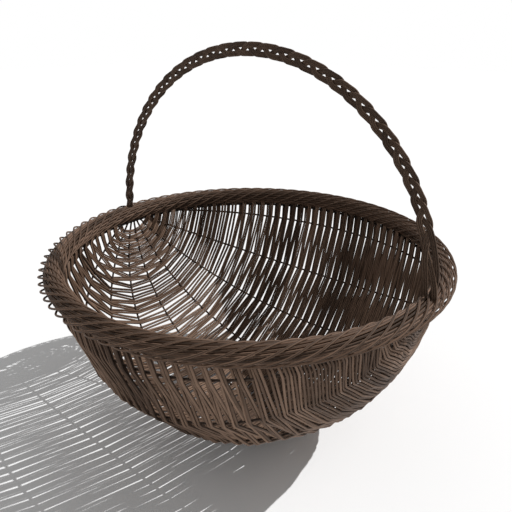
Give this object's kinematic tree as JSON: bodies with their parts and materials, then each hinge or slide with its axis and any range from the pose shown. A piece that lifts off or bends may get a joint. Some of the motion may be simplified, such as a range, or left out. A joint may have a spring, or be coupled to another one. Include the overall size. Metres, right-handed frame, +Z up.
{
  "type": "round bottom basket",
  "caption": "Round bottom basket of dark woven cane with half-circle ribs, a rope-like border and a fixed, plaited handle arched over the top.",
  "frame": {"origin": "on the ground under the middle of the bowl, where the lowest bands rest", "axes": "+Z up, the handle arches over the X axis, and its feet stand on the border at -X and +X"},
  "size_m": [0.4174, 0.4174, 0.4061],
  "materials": {
    "border_cane": "satin, dark stained cane",
    "rim_cane": "satin, dark stained cane",
    "rib_cane": "satin, dark stained cane",
    "weaving_cane": "satin, dark stained cane",
    "handle_cane": "satin, dark stained cane"
  },
  "bodies": {
    "root": {"border_strand_1": "border_cane", "border_strand_2": "border_cane", "border_strand_3": "border_cane", "border_strand_4": "border_cane", "border_strand_5": "border_cane", "border_strand_6": "border_cane", "rim_core": "rim_cane", "rim_rod": "rim_cane", "rib_1": "rib_cane", "rib_2": "rib_cane", "rib_3": "rib_cane", "rib_4": "rib_cane", "rib_5": "rib_cane", "rib_6": "rib_cane", "rib_7": "rib_cane", "rib_8": "rib_cane", "rib_9": "rib_cane", "weaver_01": "weaving_cane", "weaver_02": "weaving_cane", "weaver_03": "weaving_cane", "weaver_04": "weaving_cane", "weaver_05": "weaving_cane", "weaver_06": "weaving_cane", "weaver_07": "weaving_cane", "weaver_08": "weaving_cane", "weaver_09": "weaving_cane", "weaver_10": "weaving_cane", "weaver_11": "weaving_cane", "weaver_12": "weaving_cane", "weaver_13": "weaving_cane", "weaver_14": "weaving_cane", "weaver_15": "weaving_cane", "weaver_16": "weaving_cane", "weaver_17": "weaving_cane", "weaver_18": "weaving_cane", "weaver_19": "weaving_cane", "weaver_20": "weaving_cane", "weaver_21": "weaving_cane", "weaver_22": "weaving_cane", "weaver_23": "weaving_cane", "weaver_24": "weaving_cane", "weaver_25": "weaving_cane", "handle_strand_1": "handle_cane", "handle_strand_2": "handle_cane", "handle_strand_3": "handle_cane"}
  },
  "joints": []
}
